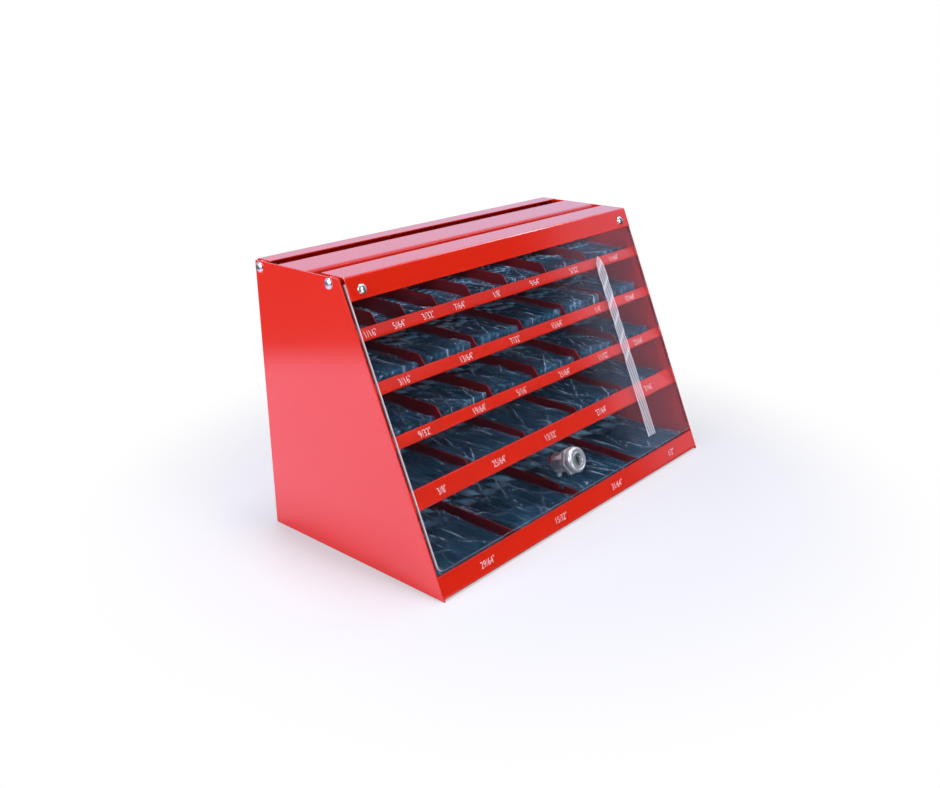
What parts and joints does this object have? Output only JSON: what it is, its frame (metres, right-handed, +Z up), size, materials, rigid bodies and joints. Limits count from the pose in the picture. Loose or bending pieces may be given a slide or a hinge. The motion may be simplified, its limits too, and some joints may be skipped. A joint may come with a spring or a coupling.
{
  "type": "drill bit display stand",
  "caption": "Counter display cabinet with a sloping clear flip-up door, cam lock, stepped trays of divided pockets and a flip-up rear loading door, filled with pouched drill bits.",
  "frame": {"origin": "on the floor, at the middle of the side panels' width and depth", "axes": "+X to the right as seen from the front, +Y to the back, +Z up; the sloping clear door faces -Y"},
  "size_m": [0.3716, 0.1982, 0.2273],
  "materials": {
    "sheet_paint": "gloss red enamel",
    "clear_pane": "clear polished acrylic",
    "bright_steel": "zinc plated",
    "white_plastic": "nylon",
    "lock_chrome": "bright plated",
    "lock_dark": "dark plated",
    "drill_steel": "black oxide",
    "pouch_film": "clear film"
  },
  "bodies": {
    "cabinet": {"left_side_panel": "sheet_paint", "right_side_panel": "sheet_paint", "top_panel": "sheet_paint", "tray_1": "sheet_paint", "tray_2": "sheet_paint", "tray_3": "sheet_paint", "tray_4": "sheet_paint", "base_tray": "sheet_paint", "dividers_1": "sheet_paint", "dividers_2": "sheet_paint", "dividers_3": "sheet_paint", "dividers_4": "sheet_paint", "base_dividers": "sheet_paint", "keeper_divider": "sheet_paint", "front_pivots": "bright_steel", "front_spacers": "white_plastic", "rear_pivots": "bright_steel", "rear_spacers": "white_plastic", "drill_bits_1": "drill_steel", "drill_bits_2": "drill_steel", "drill_bits_3": "drill_steel", "drill_bits_4": "drill_steel", "drill_bits_5": "drill_steel", "upper_drill_bits_1": "drill_steel", "upper_drill_bits_2": "drill_steel", "pouches_1": "pouch_film", "pouches_2": "pouch_film", "pouches_3": "pouch_film", "pouches_4": "pouch_film", "pouches_5": "pouch_film"},
    "front_door": {"front_header": "sheet_paint", "door_pane": "clear_pane", "door_screws": "bright_steel", "door_nuts": "bright_steel", "lock_body": "lock_chrome", "lock_nut": "bright_steel"},
    "rear_door": {"rear_header": "sheet_paint", "rear_panel": "sheet_paint", "rear_screws": "bright_steel", "rear_nuts": "bright_steel"},
    "lock": {"lock_plug": "lock_dark", "lock_stop_washer": "bright_steel", "lock_cam": "bright_steel", "lock_cam_screw": "bright_steel"}
  },
  "joints": [
    {"name": "front_door_hinge", "type": "hinge", "parent": "cabinet", "child": "front_door", "pos_m": [0, 0.012, 0.2215], "axis": [-1, 0, 0], "range_deg": [0, 165]},
    {"name": "rear_door_hinge", "type": "hinge", "parent": "cabinet", "child": "rear_door", "pos_m": [0, 0.0921, 0.2215], "axis": [1, 0, 0], "range_deg": [0, 120]},
    {"name": "lock_turn", "type": "hinge", "parent": "front_door", "child": "lock", "pos_m": [0, -0.07758, 0.04488], "axis": [0, 0.9178, -0.3971], "range_deg": [0, 90]}
  ]
}
